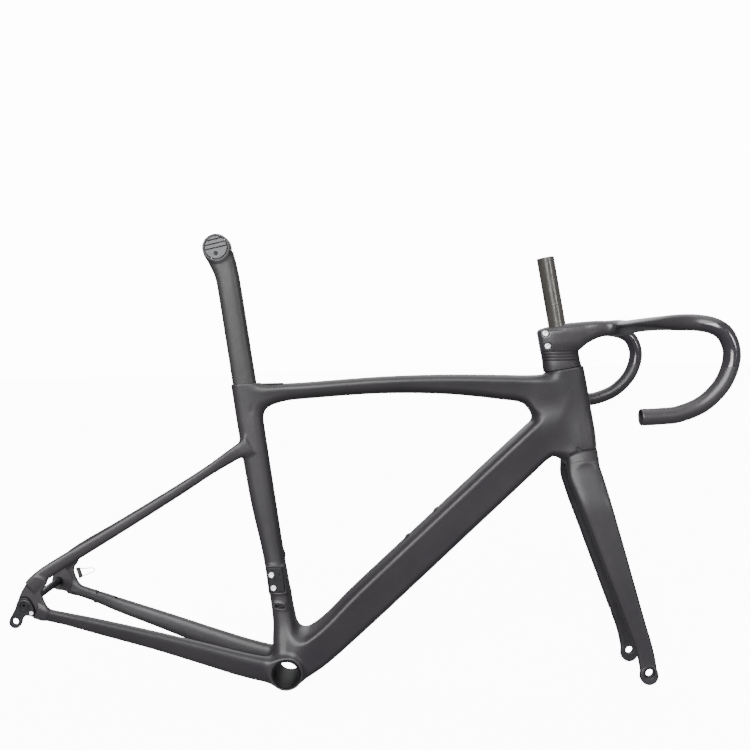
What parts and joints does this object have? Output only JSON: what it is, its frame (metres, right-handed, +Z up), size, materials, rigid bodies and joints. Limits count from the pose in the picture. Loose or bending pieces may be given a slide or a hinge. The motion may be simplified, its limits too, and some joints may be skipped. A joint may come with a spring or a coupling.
{
  "type": "bicycle frameset",
  "caption": "Carbon road frameset for disc brakes with an aero seatpost, a long uncut fork steerer and a one-piece drop handlebar and stem.",
  "frame": {"origin": "on the floor, below the middle of the bounding box", "axes": "+X forward along the length, +Y to the rider's left, +Z up; it stands on the bottom bracket shell and the two fork tips"},
  "size_m": [1.096, 0.4714, 0.7454],
  "materials": {
    "carbon": "satin dark charcoal clear coat over carbon fibre",
    "post_carbon": "satin mid grey over carbon fibre",
    "raw_carbon": "bare glossy carbon fibre with lengthwise streaks",
    "steel": "bright zinc-plated",
    "black_alloy": "black anodised",
    "grey_alloy": "satin grey anodised",
    "rubber": "matt black",
    "black_plastic": "matt black nylon"
  },
  "bodies": {
    "frame": {"head_tube": "carbon", "top_tube": "carbon", "down_tube": "carbon", "seat_tube": "carbon", "bottom_bracket_shell": "carbon", "bottom_bracket_liner": "grey_alloy", "chainstay_right": "carbon", "chainstay_left": "carbon", "seatstay_right": "carbon", "seatstay_left": "carbon", "dropout_right": "carbon", "dropout_left": "carbon", "derailleur_hanger": "black_alloy", "hanger_bolt": "steel", "rear_axle_insert": "black_alloy", "rear_through_axle": "black_alloy", "rear_brake_sleeve_front": "grey_alloy", "rear_brake_sleeve_rear": "grey_alloy", "front_derailleur_mount": "black_alloy", "derailleur_mount_bolt_upper": "steel", "derailleur_mount_bolt_lower": "steel", "derailleur_cable_port": "black_alloy", "bottle_bolt_seat_tube_upper": "black_alloy", "bottle_bolt_seat_tube_lower": "black_alloy", "bottle_bolt_down_tube_upper": "black_alloy", "bottle_bolt_down_tube_lower": "black_alloy", "seatpost_wedge": "black_alloy", "seatpost_wedge_bolt": "steel", "seatpost_wedge_cover": "rubber", "guide_wire": "steel", "guide_wire_clip": "black_plastic", "lower_bearing": "grey_alloy", "upper_bearing": "grey_alloy"},
    "fork": {"steerer_tube": "raw_carbon", "fork_crown": "carbon", "fork_leg_right": "carbon", "fork_leg_left": "carbon", "fork_axle_insert_right": "black_alloy", "fork_axle_insert_left": "black_alloy", "front_brake_insert_upper": "grey_alloy", "front_brake_insert_lower": "grey_alloy", "crown_race": "black_alloy", "compression_ring": "black_alloy", "headset_top_cover": "carbon", "headset_spacer_1": "carbon", "headset_spacer_2": "carbon", "headset_spacer_3": "carbon", "handlebar": "carbon", "stem_bolt_upper": "steel", "stem_bolt_lower": "steel"},
    "seatpost": {"seatpost": "post_carbon"},
    "saddle_clamp": {"clamp_barrel": "grey_alloy", "clamp_cheek_right": "grey_alloy", "clamp_cheek_left": "grey_alloy", "saddle_clamp_bolt": "steel"}
  },
  "joints": [
    {"name": "steering", "type": "hinge", "parent": "frame", "child": "fork", "pos_m": [0.37077, 0, 0.3777], "axis": [-0.153, 0, 0.9882], "range_deg": [-45, 45]},
    {"name": "seatpost_height", "type": "slide", "parent": "frame", "child": "seatpost", "axis": [-0.1297, 0, 0.9916], "range_m": [-0.065, 0.03]},
    {"name": "saddle_clamp_tilt", "type": "hinge", "parent": "seatpost", "child": "saddle_clamp", "pos_m": [-0.21923, 0, 0.7224], "axis": [0, 1, 0], "range_deg": [-15, 15]}
  ]
}
